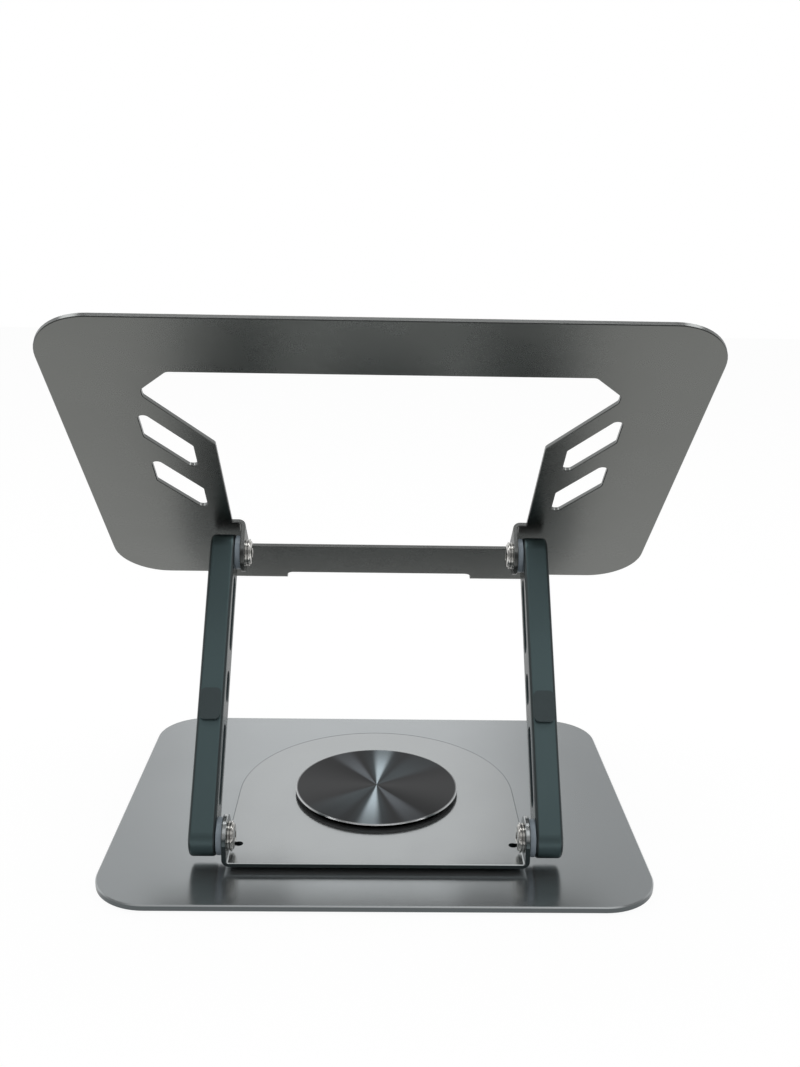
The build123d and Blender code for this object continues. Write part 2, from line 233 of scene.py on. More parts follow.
def empty_material(name: str) -> Material:
    """A new material with a node tree."""
    material = bpy.data.materials.new(name)
    material.use_nodes = True
    return material


class Recipe(Graph):
    """A material's node tree, with a Principled shader at its end."""

    NOISE_MIDDLE = 0.5

    def __init__(self, name: str) -> None:
        """Start a material.

        Args:
            name: The material's name.
        """
        self.material = empty_material(name)
        super().__init__(self.material.node_tree)
        self.place = self.node("ShaderNodeTexCoord", output="Object")
        self.outward = Value(self, self.place.socket.node.outputs["Normal"])

    def noise(self, size: float, detail: float = 2.0) -> Value:
        """Add a noise pattern.

        Args:
            size: The size of its blotches, in metres.
            detail: How many finer layers it has.

        Returns:
            The noise, from about minus a half to about a half.
        """
        sockets = {"Vector": self.place, "Scale": 1.0 / size, "Detail": detail}
        return self.node("ShaderNodeTexNoise", sockets) - self.NOISE_MIDDLE

    def level_place(self) -> Value:
        """The place on the object, with its height left out."""
        return self.vector("MULTIPLY", self.place, (1, 1, 0))

    def radius(self) -> Value:
        """How far the place is from the Z axis."""
        return self.vector("LENGTH", self.level_place(), output=1)

    def facing(self, direction: Sequence[float]) -> Value:
        """How squarely the surface faces along a direction, either way."""
        return abs(self.vector("DOT_PRODUCT", self.outward, tuple(direction), output=1))

    def tint(self, colour: Colour, tone: Number) -> Value:
        """A colour multiplied by a tone."""
        return self.vector("SCALE", colour, Scale=tone)

    def mix(self, share: Number, first: Value, second: Any) -> Value:
        """A mix of two colours, by the second one's share."""
        sockets = {0: share, 6: first, 7: second}
        return self.node("ShaderNodeMix", sockets, output=2, data_type="RGBA")

    def relief(self, height: Value, depth: float) -> Value:
        """A normal bumped by a relief that is so many metres deep."""
        return self.node("ShaderNodeBump", {"Strength": 1.0, "Distance": depth, "Height": height})

    def close(self, **sockets: Any) -> Material:
        """End the tree in a Principled shader.

        Args:
            sockets: The shader's inputs, with _ for a space in a name.

        Returns:
            The finished material.
        """
        named = {key.replace("_", " "): value for key, value in sockets.items()}
        shader = self.node("ShaderNodeBsdfPrincipled", named)
        self.node("ShaderNodeOutputMaterial", {"Surface": shader})
        return self.material


@dataclass(frozen=True)
class SatinMetal:
    """Space-grey satin finish on sheet or cast metal, with colours on bevels and cut walls that are painted
    highlights, painted reflections and painted shade.
    """

    name: str
    colour: Colour
    roughness: float
    flat: tuple[float, float, float]
    bevel_painted_light: Colour
    wall_painted_light: Colour
    metallic: float = 1.0
    bevel_painted_light_share: float = 0.7
    edge_roughness: float = -0.035
    wall_roughness: float = 0.0
    clouding: float = 0.08
    cloud_size: float = 60 * MM
    smear_size: float = 20 * MM
    smear_gloss: float = 0.08
    grain_size: float = 0.28 * MM
    grain_depth: float = 0.0012 * MM
    grain_gloss: float = 0.05
    round_front: float = 0.0
    shade_line_width: float = 0.5 * MM
    shade_line_blur: float = 0.125 * MM
    shade_line_share: float = 0.75

    BEVEL = Fade(0.97, 0.8)
    WALL = Fade(0.45, 0.25)
    FACE = Fade(0.45, 0.6)

    def material(self) -> Material:
        """Build the material.

        Returns:
            The material.
        """
        recipe = Recipe(self.name)
        clouds = recipe.noise(self.cloud_size, detail=3.0)
        smears = recipe.noise(self.smear_size, detail=4.0)
        grain = recipe.noise(self.grain_size)
        facing = recipe.facing(self.flat)
        bevel = self.BEVEL.of(facing)
        wall = self.WALL.of(facing)
        tone = 1 + clouds * self.clouding + grain * (self.clouding / 2)
        painted_wall_tint = recipe.tint(self.wall_painted_light, tone)
        # Painted light: the bevel and wall colours stand in for the highlights, reflections and shade that
        # bevels and cut walls show.
        colour = recipe.mix(
            bevel * self.bevel_painted_light_share, recipe.tint(self.colour, tone), recipe.tint(self.bevel_painted_light, tone)
        )
        colour = recipe.mix(wall, colour, painted_wall_tint)
        # Painted shade: a thin dark line in the wall colour along the round front and sides.
        if self.round_front:
            line = self._painted_shade_line(recipe) * self.FACE.of(facing)
            colour = recipe.mix(line * self.shade_line_share, colour, painted_wall_tint)
        gloss = smears * self.smear_gloss + grain * self.grain_gloss
        return recipe.close(
            Base_Color=colour,
            Metallic=self.metallic,
            Roughness=self.roughness + gloss + bevel * self.edge_roughness + wall * self.wall_roughness,
            Normal=recipe.relief(grain, self.grain_depth),
        )

    def _painted_shade_line(self, recipe: Recipe) -> Value:
        """A thin painted shade line along a round front and the straight sides behind it, where the gap
        beneath the plate shows dark.

        Args:
            recipe: The material that is being built.

        Returns:
            One on the line, else zero.
        """
        x, y, _ = recipe.parts(recipe.place)
        ahead = recipe.node("ShaderNodeCombineXYZ", {0: x, 1: y.least(0.0)})
        reach = recipe.vector("LENGTH", ahead, output=1)
        width = self.shade_line_width * (1 - y.least(0.0) / self.round_front)
        return (reach + width - self.round_front).ease(0.0, self.shade_line_blur)


@dataclass(frozen=True)
class PaintedHighlightSpoke:
    """A painted highlight spoke across a turned face, on both sides of its middle; its turns are in
    degrees.
    """

    turn: float
    half_width: float
    colour: Colour

    def share(self, recipe: Recipe, spoke: Value) -> Value:
        """How much of the painted highlight a place shows.

        Args:
            recipe: The material that is being built.
            spoke: The direction from the middle to the place.

        Returns:
            One along the painted highlight, zero outside it.
        """
        turn = math.radians(self.turn)
        line = (math.cos(turn), math.sin(turn), 0.0)
        along = abs(recipe.vector("DOT_PRODUCT", spoke, line, output=1))
        rise = along.ease(math.cos(math.radians(self.half_width)), 1.0)
        return rise * rise * rise


@dataclass(frozen=True)
class TurnedMetal:
    """Dark anodised metal with the fine rings of a lathe tool, a bright cut rim, painted highlight spokes
    across its face, and painted shade on its side wall.
    """

    name: str
    colour: Colour
    rim_colour: Colour
    roughness: float
    face_radius: float
    painted_highlights: tuple[PaintedHighlightSpoke, ...] = ()
    ring_size: float = 0.3 * MM
    ring_depth: float = 0.003 * MM
    ring_tone: float = 1.3
    ring_gloss: float = 0.1
    rim_gloss: float = 0.12
    anisotropy: float = 0.98
    grain_turn: float = 0.25
    land_width: float = 0.5 * MM
    land_blur: float = 0.1 * MM
    land_share: float = 0.3

    FACE = Fade(0.9, 0.97)
    RIM_TOP = Fade(0.97, 0.85)
    RIM_FOOT = Fade(0.35, 0.55)
    PAINTED_SIDE_SHADE = Fade(0.4, 0.2, 0.9)
    PAINTED_HIGHLIGHT_FADE = Fade(0.35, 1.0, 0.6)

    def material(self) -> Material:
        """Build the material.

        Returns:
            The material.
        """
        recipe = Recipe(self.name)
        radius = recipe.radius()
        sockets = {"W": radius / self.ring_size, "Detail": 3.0}
        noise = recipe.node("ShaderNodeTexNoise", sockets, noise_dimensions="1D")
        rings = noise - recipe.NOISE_MIDDLE
        facing = recipe.facing((0, 0, 1))
        rim = self.RIM_TOP.of(facing) * self.RIM_FOOT.of(facing)
        land_start = self.face_radius - self.land_width
        land = radius.ease(land_start, land_start + self.land_blur) * self.FACE.of(facing)
        # Painted shade: the cap's side wall is darkened in its colour.
        tone = 1 + rings * self.ring_tone - self.PAINTED_SIDE_SHADE.of(facing)
        colour = recipe.tint(self.colour, tone)
        spoke = recipe.vector("NORMALIZE", recipe.level_place())
        # Painted highlights: bright spokes mixed into the colour, fading out towards the rim.
        inner = 1 - self.PAINTED_HIGHLIGHT_FADE.of(radius / self.face_radius)
        for spoke_highlight in self.painted_highlights:
            share = spoke_highlight.share(recipe, spoke) * inner
            colour = recipe.mix(share, colour, recipe.tint(spoke_highlight.colour, tone))
        colour = recipe.mix(rim.most(land * self.land_share), colour, (*self.rim_colour, 1.0))
        return recipe.close(
            Base_Color=colour,
            Metallic=1.0,
            Roughness=self.roughness + rings * self.ring_gloss - rim * self.rim_gloss,
            Anisotropic=self.anisotropy,
            Anisotropic_Rotation=self.grain_turn,
            Normal=recipe.relief(rings, self.ring_depth),
        )


@dataclass(frozen=True)
class PlatedSteel:
    """Bright plating on a small steel part, with faint handling marks."""

    name: str
    colour: Colour
    roughness: float
    mark_size: float = 0.9 * MM
    mark_depth: float = 0.002 * MM
    mark_gloss: float = 0.08
    patch_size: float = 3.6 * MM
    patch_tone: float = 0.16

    def material(self) -> Material:
        """Build the material.

        Returns:
            The material.
        """
        recipe = Recipe(self.name)
        marks = recipe.noise(self.mark_size, detail=4.0)
        tone = 1 + recipe.noise(self.patch_size) * self.patch_tone
        return recipe.close(
            Base_Color=recipe.tint(self.colour, tone),
            Metallic=1.0,
            Roughness=self.roughness + marks * self.mark_gloss,
            Normal=recipe.relief(marks, self.mark_depth),
        )


@dataclass(frozen=True)
class MouldedPlastic:
    """Smooth moulded plastic or rubber with a fine skin."""

    name: str
    colour: Colour
    roughness: float
    bloom: float = 0.25
    bloom_size: float = 9 * MM
    skin_size: float = 0.35 * MM
    skin_depth: float = 0.006 * MM
    skin_tone: float = 0.12
    skin_gloss: float = 0.1
    specular: float = 0.4

    def material(self) -> Material:
        """Build the material.

        Returns:
            The material.
        """
        recipe = Recipe(self.name)
        skin = recipe.noise(self.skin_size, detail=3.0)
        tone = 1 + recipe.noise(self.bloom_size, detail=3.0) * self.bloom + skin * self.skin_tone
        return recipe.close(
            Base_Color=recipe.tint(self.colour, tone),
            Roughness=self.roughness + skin * self.skin_gloss,
            Specular_IOR_Level=self.specular,
            Normal=recipe.relief(skin, self.skin_depth),
        )


@dataclass(frozen=True)
class Finishes:
    """The stand's materials, by what they cover."""

    base: Material
    swivel: Material
    tray: Material
    arm: Material
    cap: Material
    screw: Material
    washer: Material
    bush: Material
    glide: Material
    bumper: Material
    silicone: Material

    @classmethod
    def mixed(cls, tray_normal: Vector, swivel_radius: float, cap_radius: float) -> Finishes:
        """Build every material.

        Args:
            tray_normal: The direction that the tray's flat faces along.
            swivel_radius: The radius of the swivel plate's round front.
            cap_radius: The radius of the turned cap's flat face.

        Returns:
            The finishes.
        """
        level = (0.0, 0.0, 1.0)
        # Bevel and wall colours are painted light: the base and swivel plate get painted highlights on
        # their bevels and painted shade on their side walls, the tray painted shade on its bevels and
        # painted reflections on its light cut walls, and the arms painted shade on their edges, rear faces
        # and ends beside lighter side faces.
        base = SatinMetal(
            "base_satin", (0.44, 0.465, 0.475), 0.2, level,
            bevel_painted_light=(0.62, 0.65, 0.66), wall_painted_light=(0.14, 0.155, 0.16), metallic=0.84,
        )
        # round_front turns on a painted shade line along the swivel plate's round front and sides.
        swivel = SatinMetal(
            "swivel_satin", (0.445, 0.465, 0.47), 0.18, level,
            bevel_painted_light=(0.85, 0.89, 0.9), wall_painted_light=(0.1, 0.125, 0.13), metallic=0.84,
            round_front=swivel_radius,
        )
        tray = SatinMetal(
            "tray_satin", (0.19, 0.195, 0.185), 0.28, tuple(tray_normal),
            bevel_painted_light=(0.08, 0.085, 0.085), wall_painted_light=(0.3, 0.31, 0.305),
        )
        arm = SatinMetal(
            "arm_slate", (0.2, 0.22, 0.22), 0.2, (1.0, 0.0, 0.0),
            bevel_painted_light=(0.07, 0.09, 0.095), wall_painted_light=(0.135, 0.192, 0.2),
            edge_roughness=0.22, wall_roughness=0.02,
        )
        # Painted highlights: the spokes' colours stand in for the lamps' streaks on the turned face.
        painted_highlights = (
            PaintedHighlightSpoke(118.0, 15.0, (0.19, 0.21, 0.23)),
            PaintedHighlightSpoke(49.0, 26.0, (0.1, 0.12, 0.13)),
            PaintedHighlightSpoke(84.5, 26.0, (0.09, 0.11, 0.12)),
            PaintedHighlightSpoke(84.5, 12.5, (0.66, 0.77, 0.83)),
        )
        cap = TurnedMetal(
            "cap_turned", (0.042, 0.043, 0.045), (0.75, 0.77, 0.78), 0.36, cap_radius, painted_highlights
        )
        return cls(
            base=base.material(),
            swivel=swivel.material(),
            tray=tray.material(),
            arm=arm.material(),
            cap=cap.material(),
            screw=PlatedSteel("screw_plating", (0.78, 0.77, 0.74), 0.1).material(),
            washer=PlatedSteel("washer_plating", (0.55, 0.55, 0.54), 0.2).material(),
            bush=MouldedPlastic("bush_acetal", (0.45, 0.53, 0.6), 0.3, bloom=0.1).material(),
            glide=MouldedPlastic("glide_acetal", (0.012, 0.012, 0.013), 0.4).material(),
            bumper=MouldedPlastic("bumper_rubber", (0.082, 0.112, 0.118), 0.5).material(),
            silicone=MouldedPlastic("black_silicone", (0.02, 0.021, 0.022), 0.62).material(),
        )


@dataclass(frozen=True)
class Layout:
    """Where the stand's hinge lines and its tray lie, read from the frame."""

    lower_hinge: Vector
    upper_hinge: Vector
    tray_normal: Vector
    ear_inner: float
    ear_outer: float
    arm_inner: float

    @classmethod
    def read(cls, frame: dict[str, Any]) -> Layout:
        """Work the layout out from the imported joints, mounts and nodes.


        Returns:
            The layout.
        """
        joints = {joint["name"]: joint for joint in frame["joints"]}
        mounts = {mount["name"]: mount for mount in frame["record"]["mounts"]}
        return cls(
            lower_hinge=Vector(joints["arm_fold"]["pos_m"]),
            upper_hinge=Vector(joints["tray_tilt"]["pos_m"]),
            tray_normal=Vector(mounts["laptop_rest"]["axis"]),
            ear_inner=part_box("lower_flat_washers")[1].x,
            ear_outer=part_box("lower_slip_washer_right")[0].x,
            arm_inner=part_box("right_arm")[0].x,
        )

    @property
    def arm_along(self) -> Vector:
        """The direction from the lower hinge line to the upper one."""
        return (self.upper_hinge - self.lower_hinge).normalized()

    @property
    def arm_rear(self) -> Vector:
        """The direction that the arms' rear faces look along."""
        return self.arm_along.cross(Vector((-1, 0, 0)))

    @property
    def tray_along(self) -> Vector:
        """The direction from the tray's front edge to its rear edge."""
        return self.tray_normal.cross(Vector((1, 0, 0)))


def new_piece(name: str, mesh: Mesh, material: Material | None = None) -> Object:
    """Put a mesh into the scene.

    Args:
        name: The piece's name.
        mesh: Its mesh, already in place.
        material: Its material, unless the mesh has one.

    Returns:
        The piece.
    """
    piece = bpy.data.objects.new(name, mesh)
    bpy.context.scene.collection.objects.link(piece)
    if material is not None:
        mesh.materials.clear()
        mesh.materials.append(material)
    return piece


def seat(piece: Object, body: str, slot: str, *nodes: str) -> None:
    """Make a piece ride on a body and stand for its nodes.

    Args:
        piece: The piece.
        body: The body that it moves with.
        slot: The record's material slot; not used.
        nodes: The CAD nodes that it replaces.
    """
    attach(piece, body)
    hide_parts(*nodes)
    LOG.info("%s rides on %s for %s", piece.name, body, ", ".join(nodes))


def skin_over(
    rings: list[list[Vector]], name: str, sharp_angle: float = 32.0, filled: bool = True
) -> Mesh:
    """Make a closed mesh from rings of points, each ring joined to the next.

    Args:
        rings: The rings, all with as many points.
        name: The mesh's name.
        sharp_angle: Edges that turn by more degrees than this stay sharp.
        filled: True where both ends are filled, False where the last ring meets the first.

    Returns:
        The mesh.
    """
    shape = bmesh.new()
    loops = [[shape.verts.new(point) for point in ring] for ring in rings]
    count = len(loops[0])
    for near, far in zip(loops, loops[1:]):
        for i in range(count):
            j = (i + 1) % count
            shape.faces.new((near[i], near[j], far[j], far[i]))
    if filled:
        shape.faces.new(tuple(reversed(loops[0])))
        shape.faces.new(tuple(loops[-1]))
    bmesh.ops.remove_doubles(shape, verts=shape.verts, dist=WELD)
    bmesh.ops.recalc_face_normals(shape, faces=shape.faces)
    for face in shape.faces:
        face.smooth = True
    mesh = bpy.data.meshes.new(name)
    shape.to_mesh(mesh)
    shape.free()
    mesh.set_sharp_from_angle(angle=math.radians(sharp_angle))
    return mesh


def circle(radius: float, height: float, count: int) -> list[Vector]:
    """Points round a circle about the Z axis."""
    turns = (math.tau * i / count for i in range(count))
    return [Vector((radius * math.cos(turn), radius * math.sin(turn), height)) for turn in turns]


def hexagon(across_flats: float, height: float, count: int) -> list[Vector]:
    """Points round a hexagon about the Z axis, at the same turns as a circle's."""
    points = circle(across_flats / 2, height, count)
    for i, point in enumerate(points):
        from_flat = (math.tau * i / count + math.pi / 6) % (math.pi / 3) - math.pi / 6
        point.xy /= math.cos(from_flat)
    return points


class ShapeTree(Graph):
    """A Geometry Nodes tree with named inputs that ends in Realize Instances and Set Material."""

    KINDS = {
        float: "NodeSocketFloat",
        int: "NodeSocketInt",
        Object: "NodeSocketObject",
        Material: "NodeSocketMaterial",
    }

    def __init__(self, name: str, **inputs: Any) -> None:
        """Start a tree.

        Args:
            name: The tree's name.
            inputs: The named inputs and their values.
        """
        tree = bpy.data.node_groups.new(name, "GeometryNodeTree")
        super().__init__(tree)
        tree.interface.new_socket("Geometry", in_out="INPUT", socket_type="NodeSocketGeometry")
        tree.interface.new_socket("Geometry", in_out="OUTPUT", socket_type="NodeSocketGeometry")
        self.values: dict[str, Any] = {}
        for word, value in inputs.items():
            kind = next(text for held, text in self.KINDS.items() if isinstance(value, held))
            item = tree.interface.new_socket(word, in_out="INPUT", socket_type=kind)
            self.values[item.identifier] = value
        self.start = tree.nodes.new("NodeGroupInput")

    def given(self, name: str) -> Value:
        """One of the tree's inputs."""
        return Value(self, self.start.outputs[name])

    def close(self, geometry: Value) -> None:
        """End the tree.

        Args:
            geometry: What the tree has made.
        """
        smooth = self.node("GeometryNodeSetShadeSmooth", {"Geometry": geometry})
        real = self.node("GeometryNodeRealizeInstances", {"Geometry": smooth})
        sockets = {"Geometry": real, "Material": self.given("Finish")}
        dressed = self.node("GeometryNodeSetMaterial", sockets)
        self.node("NodeGroupOutput", {"Geometry": dressed})

    def grow(self, name: str, seed: Mesh) -> Object:
        """Run the tree on a mesh and keep the result as a plain piece.

        Args:
            name: The piece's name.
            seed: The mesh that the tree starts from.

        Returns:
            The piece.
        """
        holder = new_piece(name + "_holder", seed)
        modifier = holder.modifiers.new("shape", "NODES")
        modifier.node_group = self.tree
        for identifier, value in self.values.items():
            modifier[identifier] = value
        graph = bpy.context.evaluated_depsgraph_get()
        mesh = bpy.data.meshes.new_from_object(holder.evaluated_get(graph))
        holder.modifiers.remove(modifier)
        bpy.data.objects.remove(holder)
        mesh.name = name
        return new_piece(name, mesh)


def points_mesh(name: str, points: Sequence[Vector]) -> Mesh:
    """A mesh of loose points."""
    mesh = bpy.data.meshes.new(name)
    mesh.from_pydata([tuple(point) for point in points], [], [])
    return mesh


def scattered(
    name: str, master: Mesh, places: Sequence[Vector], finish: Material, upright: bool = False
) -> Object:
    """Copies of a small part at several places, each spun by its own amount.

    Args:
        name: The piece's name.
        master: The small part, about the Z axis.
        places: Where the copies go.
        finish: Their material.
        upright: True where the part's Z stays up, False where it looks along X to the middle.

    Returns:
        The piece.
    """
    original = new_piece(name + "_master", master)
    tree = ShapeTree(name + "_tree", Part=original, Finish=finish, Spin=math.tau, Seed=11)
    part = tree.node("GeometryNodeObjectInfo", {"Object": tree.given("Part")})
    solid = Value(tree, part.socket.node.outputs["Geometry"])
    x, _, _ = tree.parts(tree.node("GeometryNodeInputPosition"))
    inward = (0.0, 0.0, 1.0)
    if not upright:
        sign = tree.node("ShaderNodeMath", {0: x}, operation="SIGN")
        inward = tree.node("ShaderNodeCombineXYZ", {0: 0 - sign})
    turned = tree.node("FunctionNodeAlignRotationToVector", {"Vector": inward}, axis="Z")
    chance = {2: 0.0, 3: tree.given("Spin"), "Seed": tree.given("Seed")}
    spin = tree.node("FunctionNodeRandomValue", chance, output=1, data_type="FLOAT")
    axis = tree.node("FunctionNodeAxisAngleToRotation", {"Axis": (0, 0, 1), "Angle": spin})
    turns = {"Rotation": turned, "Rotate By": axis}
    both = tree.node("FunctionNodeRotateRotation", turns, rotation_space="LOCAL")
    sockets = {"Points": tree.given("Geometry"), "Instance": solid, "Rotation": both}
    tree.close(tree.node("GeometryNodeInstanceOnPoints", sockets))
    piece = tree.grow(name, points_mesh(name + "_places", places))
    bpy.data.objects.remove(original)
    return piece


@dataclass
class HingeHardware:
    """Screws, washers and slip washers of the two hinge lines."""

    layout: Layout
    finishes: Finishes
    segments: int = 60
    flat_washer: float = 0.7 * MM
    flat_radius: float = 6.3 * MM
    spring_washer: float = 0.5 * MM
    spring_cone: float = 0.2 * MM
    spring_radius: float = 6.1 * MM
    head_radius: float = 6.4 * MM
    head_flange: float = 0.6 * MM
    head_height: float = 1.6 * MM
    head_top: float = 3.9 * MM
    shank_radius: float = 3.0 * MM
    hole_radius: float = 3.08 * MM
    grip: float = 8.5 * MM
    socket_flats: float = 4.0 * MM
    socket_depth: float = 1.1 * MM
    slip_radius: float = 8.0 * MM
    rounding: float = 0.16 * MM
    tip_chamfer: float = 0.64 * MM
    flange_land: float = 0.8 * MM
    socket_bevel: float = 0.24 * MM
    drill_radius: float = 1.2 * MM
    drill_depth: float = 0.8 * MM
    dome_steps: int = 7

    @property
    def head_seat(self) -> float:
        """How far out from the middle a screw head's underside is."""
        return self.layout.ear_inner - self.flat_washer - self.spring_washer - self.spring_cone

    def places(self, out: float, *hinges: Vector) -> list[Vector]:
        """The places on some hinge lines that are so far out from the middle."""
        return [hinge + Vector((side.value * out, 0, 0)) for hinge in hinges for side in Side]

    def screw_mesh(self) -> Mesh:
        """A flanged button-head screw about the Z axis, its head's underside at zero.

        Returns:
            The mesh.
        """
        count = self.segments
        edge = self.rounding
        tip = self.head_seat - self.layout.arm_inner - self.grip
        profile = [
            (self.shank_radius - self.tip_chamfer, tip),
            (self.shank_radius, tip + self.tip_chamfer),
            (self.shank_radius, 0),
            (self.head_radius - edge, 0),
            (self.head_radius, edge),
            (self.head_radius, self.head_flange - edge),
            (self.head_radius - edge, self.head_flange),
        ]
        start = self.head_radius - self.flange_land
        for i in range(self.dome_steps + 1):
            turn = math.pi / 2 * i / self.dome_steps
            radius = self.head_top + (start - self.head_top) * math.cos(turn)
            rise = (self.head_height - self.head_flange) * math.sin(turn)
            profile.append((radius, self.head_flange + rise))
        floor = self.head_height - self.socket_depth
        rings = [circle(radius, height, count) for radius, height in profile]
        rings += [
            hexagon(self.socket_flats + self.socket_bevel * 2, self.head_height, count),
            hexagon(self.socket_flats, self.head_height - self.socket_bevel, count),
            hexagon(self.socket_flats, floor, count),
            circle(self.drill_radius, floor - edge, count),
            circle(edge, floor - self.drill_depth, count),
        ]
        return skin_over(rings, "hinge_screw")

    def ring_mesh(self, name: str, outer: float, thickness: float, cone: float = 0.0) -> Mesh:
        """A washer about the Z axis, from zero upwards.

        Args:
            name: The mesh's name.
            outer: Its outer radius.
            thickness: Its thickness.
            cone: How much lower its outer rim lies than its inner one.

        Returns:
            The mesh.
        """
        edge = min(self.rounding, thickness / 4)
        inner = self.hole_radius
        profile = [
            (inner, cone + thickness / 2),
            (inner, cone + edge),
            (inner + edge, cone),
            (outer - edge, 0),
            (outer, edge),
            (outer, thickness - edge),
            (outer - edge, thickness),
            (inner + edge, cone + thickness),
            (inner, cone + thickness - edge),
            (inner, cone + thickness / 2),
        ]
        rings = [circle(radius, height, self.segments) for radius, height in profile]
        return skin_over(rings, name, filled=False)

    def build(self) -> None:
        """Make every piece of the hinges and seat it on its body."""
        lower, upper = self.layout.lower_hinge, self.layout.upper_hinge
        heads = self.places(self.head_seat, lower, upper)
        screws = scattered("hinge_screw_set", self.screw_mesh(), heads, self.finishes.screw)
        seat(screws, "arms", "screw_steel", "lower_hinge_screws", "upper_hinge_screws")
        spring_out = self.head_seat + self.spring_washer + self.spring_cone
        spring = self.ring_mesh("spring_washer", self.spring_radius, self.spring_washer, self.spring_cone)
        springs = self.places(spring_out, lower, upper)
        spring_set = scattered("spring_washer_set", spring, springs, self.finishes.washer)
        seat(spring_set, "arms", "washer_steel", "lower_spring_washers", "upper_spring_washers")
        slip_thickness = self.layout.arm_inner - self.layout.ear_outer
        for line, hinge, body in (("lower", lower, "arms"), ("upper", upper, "tray_hinge")):
            flat = self.ring_mesh("flat_washer", self.flat_radius, self.flat_washer)
            flat_places = self.places(self.layout.ear_inner, hinge)
            flats = scattered(f"{line}_flat_washer_set", flat, flat_places, self.finishes.screw)
            seat(flats, body, "washer_steel", f"{line}_flat_washers")
            slip = self.ring_mesh("slip_washer", self.slip_radius, slip_thickness)
            slip_places = self.places(self.layout.arm_inner, hinge)
            slips = scattered(f"{line}_slip_washer_set", slip, slip_places, self.finishes.bush)
            seat(slips, body, "slip_washer", f"{line}_slip_washer_left", f"{line}_slip_washer_right")


@dataclass
class Turntable:
    """The turned cap and its screws."""

    finishes: Finishes
    cap_thickness: float = 1.6 * MM
    boss_radius: float = 20.0 * MM
    rim_chamfer: float = 0.45 * MM
    grooves: int = 44
    groove_depth: float = 0.008 * MM
    rings_each: int = 4
    segments: int = 192
    sharp_angle: float = 30.0
    screw_circle: float = 12.5 * MM
    screw_head: float = 3.45 * MM
    screw_shank: float = 2.0 * MM
    screw_recess: float = 2.5 * MM
    screw_edge: float = 0.25 * MM
    screw_segments: int = 48
    recess_depth: float = 1.1 * MM
    recess_tip: float = 1.4 * MM
    recess_tip_radius: float = 0.1 * MM

    def cap(self) -> Object:
        """The cap: a grid of rings and spokes, laid along the profile of a turned disc.

        Returns:
            The piece.
        """
        low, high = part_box("turntable_cap")
        top_rings = self.grooves * self.rings_each
        other_rings = 5
        rings = top_rings + other_rings
        tree = ShapeTree(
            "turned_cap_tree",
            Radius=high.x,
            Top=high.z,
            Bottom=low.z,
            Thickness=self.cap_thickness,
            Boss=self.boss_radius,
            Chamfer=self.rim_chamfer,
            Depth=self.groove_depth,
            Top_Rings=float(top_rings),
            Finish=self.finishes.cap,
        )
        sockets = {"Size X": 1.0, "Size Y": 1.0, "Vertices X": rings + 1, "Vertices Y": self.segments + 1}
        grid = tree.node("GeometryNodeMeshGrid", sockets)
        given = tree.given
        x, y, _ = tree.parts(tree.node("GeometryNodeInputPosition"))
        ring = (x + 0.5) * float(rings)
        turn = (y + 0.5) * math.tau
        span = (ring / given("Top_Rings")).least(1.0)
        beyond = (ring - given("Top_Rings")).most(0.0)
        steps = [(beyond - i).most(0.0).least(1.0) for i in range(other_rings)]
        chamfer = steps[0] * given("Chamfer")
        wall = steps[1] * (given("Thickness") - given("Chamfer"))
        under = steps[2] * (given("Radius") - given("Boss"))
        boss = steps[3] * (given("Top") - given("Thickness") - given("Bottom"))
        close = steps[4] * given("Boss")
        radius = span * (given("Radius") - given("Chamfer")) + chamfer - under - close
        wave = (ring * (math.tau / self.rings_each)).cosine() * 0.5 - 0.5
        groove = wave * given("Depth") * (1 - steps[0])
        height = given("Top") + groove - chamfer - wall - boss
        spokes = {0: radius * turn.cosine(), 1: radius * turn.sine(), 2: height}
        spot = tree.node("ShaderNodeCombineXYZ", spokes)
        mesh = Value(tree, grid.socket.node.outputs["Mesh"])
        laid = tree.node("GeometryNodeSetPosition", {"Geometry": mesh, "Position": spot})
        welded = tree.node("GeometryNodeMergeByDistance", {"Geometry": laid, "Distance": WELD})
        bent = tree.node("GeometryNodeInputMeshEdgeAngle").over(math.radians(self.sharp_angle))
        sockets = {"Geometry": welded, "Name": "sharp_edge", "Value": bent}
        sharp = tree.node("GeometryNodeStoreNamedAttribute", sockets, data_type="BOOLEAN", domain="EDGE")
        tree.close(tree.node("GeometryNodeFlipFaces", {"Mesh": sharp}))
        return tree.grow("turned_cap", points_mesh("cap_seed", [Vector()]))

    def screw_mesh(self, length: float) -> Mesh:
        """A countersunk screw about the Z axis, its flat head at zero and its shank upwards.

        Args:
            length: From the head's face to the tip.

        Returns:
            The mesh.
        """
        count = self.screw_segments
        edge = self.screw_edge
        cone = self.screw_head - self.screw_shank
        rings = [
            circle(self.recess_tip_radius, self.recess_tip, count),
            hexagon(self.screw_recess, self.recess_depth, count),
            hexagon(self.screw_recess, edge / 2, count),
            hexagon(self.screw_recess + edge, 0, count),
            circle(self.screw_head - edge / 2, 0, count),
            circle(self.screw_head, edge / 2, count),
            circle(self.screw_head, edge, count),
            circle(self.screw_shank, edge + cone, count),
            circle(self.screw_shank, length - 2 * edge, count),
            circle(self.screw_shank - 2 * edge, length, count),
        ]
        return skin_over(rings, "cap_screw")

    def build(self) -> None:
        """Make the cap and its screws."""
        seat(self.cap(), "base", "turned_cap", "turntable_cap")
        low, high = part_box("cap_screws")
        reach = self.screw_circle / math.sqrt(2)
        places = [Vector((x * reach, y * reach, low.z)) for x in (-1, 1) for y in (-1, 1)]
        screw = self.screw_mesh(high.z - low.z)
        screws = scattered("cap_screw_set", screw, places, self.finishes.screw, upright=True)
        seat(screws, "base", "screw_steel", "cap_screws")


@dataclass(frozen=True)
class PadForm:
    """The sizes of a moulded pad: its box, its corners, its soft edge and its crown."""

    length: float
    width: float
    height: float
    corner: float
    edge: float
    crown: float


